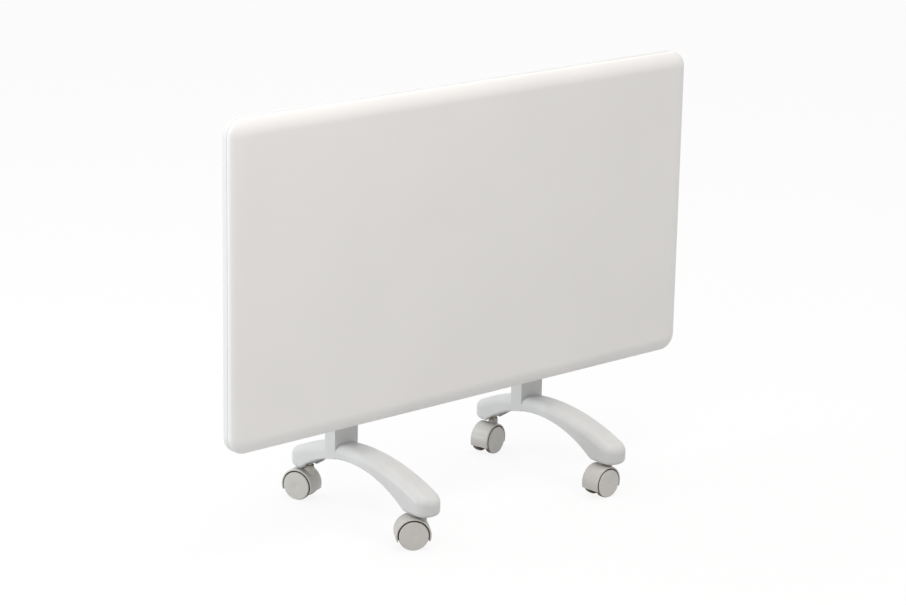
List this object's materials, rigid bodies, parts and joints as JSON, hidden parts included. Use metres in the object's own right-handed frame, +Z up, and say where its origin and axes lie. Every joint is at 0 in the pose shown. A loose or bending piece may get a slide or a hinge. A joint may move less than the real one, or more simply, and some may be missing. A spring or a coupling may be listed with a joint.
{
  "type": "wall panel convector heater",
  "caption": "Flat rectangular panel convector heater with rolled edges and a stepped rear box, standing on arched feet with twin-wheel castors.",
  "frame": {"origin": "on the floor, under the middle of the whole", "axes": "+X to the right seen from the front, +Z up, the front faces -Y"},
  "size_m": [0.73, 0.2746, 0.5305],
  "materials": {
    "panel_paint": "satin powder coat",
    "casing_paint": "satin powder coat",
    "zinc_steel": "zinc plated",
    "shield_sheet": "plain sheet",
    "fin_aluminium": "plain extrusion",
    "rod_steel": "plain steel",
    "bush_ceramic": "unglazed steatite",
    "cutout_case": "dark phenolic",
    "terminal_plastic": "polyamide",
    "lead_sleeve": "silicone sleeve",
    "gland_plastic": "polyamide",
    "bezel_plastic": "fine texture",
    "thermostat_case": "phenolic",
    "dial_plastic": "fine texture",
    "lamp_lens": "clear amber",
    "switch_case": "smooth",
    "rocker_plastic": "smooth",
    "foot_plastic": "smooth moulding",
    "socket_plastic": "polyamide",
    "stem_chrome": "plated",
    "hood_plastic": "smooth moulding",
    "wheel_plastic": "polyamide",
    "cap_plastic": "smooth moulding"
  },
  "bodies": {
    "heater": {"front_panel": "panel_paint", "rear_casing": "casing_paint", "casing_screws": "zinc_steel", "heat_shield": "shield_sheet", "heating_fins": "fin_aluminium", "heating_rod": "rod_steel", "left_element_bracket": "zinc_steel", "right_element_bracket": "zinc_steel", "element_bushes": "bush_ceramic", "bracket_screws": "zinc_steel", "overheat_cutout": "cutout_case", "terminal_block": "terminal_plastic", "element_lead": "lead_sleeve", "control_lead": "lead_sleeve", "cable_gland": "gland_plastic", "gland_nut": "gland_plastic", "control_housing": "bezel_plastic", "control_screws": "zinc_steel", "thermostat": "thermostat_case", "pilot_lamp": "lamp_lens", "switch_body": "switch_case", "left_foot": "foot_plastic", "right_foot": "foot_plastic", "left_stem_sockets": "socket_plastic", "right_stem_sockets": "socket_plastic", "post_screws": "zinc_steel", "weld_nuts": "zinc_steel", "front_left_stem": "stem_chrome", "front_right_stem": "stem_chrome", "rear_left_stem": "stem_chrome", "rear_right_stem": "stem_chrome"},
    "front_left_castor": {"front_left_hood": "hood_plastic", "front_left_axle": "rod_steel"},
    "front_left_roller_1": {"front_left_wheel_1": "wheel_plastic", "front_left_cap_1": "cap_plastic"},
    "front_left_roller_2": {"front_left_wheel_2": "wheel_plastic", "front_left_cap_2": "cap_plastic"},
    "front_right_castor": {"front_right_hood": "hood_plastic", "front_right_axle": "rod_steel"},
    "front_right_roller_1": {"front_right_wheel_1": "wheel_plastic", "front_right_cap_1": "cap_plastic"},
    "front_right_roller_2": {"front_right_wheel_2": "wheel_plastic", "front_right_cap_2": "cap_plastic"},
    "rear_left_castor": {"rear_left_hood": "hood_plastic", "rear_left_axle": "rod_steel"},
    "rear_left_roller_1": {"rear_left_wheel_1": "wheel_plastic", "rear_left_cap_1": "cap_plastic"},
    "rear_left_roller_2": {"rear_left_wheel_2": "wheel_plastic", "rear_left_cap_2": "cap_plastic"},
    "rear_right_castor": {"rear_right_hood": "hood_plastic", "rear_right_axle": "rod_steel"},
    "rear_right_roller_1": {"rear_right_wheel_1": "wheel_plastic", "rear_right_cap_1": "cap_plastic"},
    "rear_right_roller_2": {"rear_right_wheel_2": "wheel_plastic", "rear_right_cap_2": "cap_plastic"},
    "dial": {"thermostat_dial": "dial_plastic", "thermostat_shaft": "rod_steel"},
    "rocker": {"switch_rocker": "rocker_plastic"}
  },
  "joints": [
    {"name": "front_left_swivel", "type": "hinge", "parent": "heater", "child": "front_left_castor", "pos_m": [-0.154, -0.1141, 0.034], "axis": [0, 0, 1], "continuous": true},
    {"name": "front_left_spin_1", "type": "hinge", "parent": "front_left_castor", "child": "front_left_roller_1", "pos_m": [-0.16323, -0.10811, 0.0184], "axis": [-0.5446, -0.8387, 0], "continuous": true},
    {"name": "front_left_spin_2", "type": "hinge", "parent": "front_left_castor", "child": "front_left_roller_2", "pos_m": [-0.16323, -0.10811, 0.0184], "axis": [-0.5446, -0.8387, 0], "continuous": true},
    {"name": "front_right_swivel", "type": "hinge", "parent": "heater", "child": "front_right_castor", "pos_m": [0.154, -0.1141, 0.034], "axis": [0, 0, 1], "continuous": true},
    {"name": "front_right_spin_1", "type": "hinge", "parent": "front_right_castor", "child": "front_right_roller_1", "pos_m": [0.14301, -0.11458, 0.0184], "axis": [0.0436, -0.999, 0], "continuous": true},
    {"name": "front_right_spin_2", "type": "hinge", "parent": "front_right_castor", "child": "front_right_roller_2", "pos_m": [0.14301, -0.11458, 0.0184], "axis": [0.0436, -0.999, 0], "continuous": true},
    {"name": "rear_left_swivel", "type": "hinge", "parent": "heater", "child": "rear_left_castor", "pos_m": [-0.154, 0.1024, 0.034], "axis": [0, 0, 1], "continuous": true},
    {"name": "rear_left_spin_1", "type": "hinge", "parent": "rear_left_castor", "child": "rear_left_roller_1", "pos_m": [-0.15812, 0.1126, 0.0184], "axis": [-0.9272, -0.3746, 0], "continuous": true},
    {"name": "rear_left_spin_2", "type": "hinge", "parent": "rear_left_castor", "child": "rear_left_roller_2", "pos_m": [-0.15812, 0.1126, 0.0184], "axis": [-0.9272, -0.3746, 0], "continuous": true},
    {"name": "rear_right_swivel", "type": "hinge", "parent": "heater", "child": "rear_right_castor", "pos_m": [0.154, 0.1024, 0.034], "axis": [0, 0, 1], "continuous": true},
    {"name": "rear_right_spin_1", "type": "hinge", "parent": "rear_right_castor", "child": "rear_right_roller_1", "pos_m": [0.14328, 0.09993, 0.0184], "axis": [0.225, -0.9744, 0], "continuous": true},
    {"name": "rear_right_spin_2", "type": "hinge", "parent": "rear_right_castor", "child": "rear_right_roller_2", "pos_m": [0.14328, 0.09993, 0.0184], "axis": [0.225, -0.9744, 0], "continuous": true},
    {"name": "thermostat_turn", "type": "hinge", "parent": "heater", "child": "dial", "pos_m": [0.34, 0.01365, 0.4745], "axis": [1, 0, 0], "range_deg": [0, 270]},
    {"name": "switch_tilt", "type": "hinge", "parent": "heater", "child": "rocker", "pos_m": [0.3395, 0.01365, 0.4305], "axis": [0, 1, 0], "range_deg": [0, 20]}
  ]
}
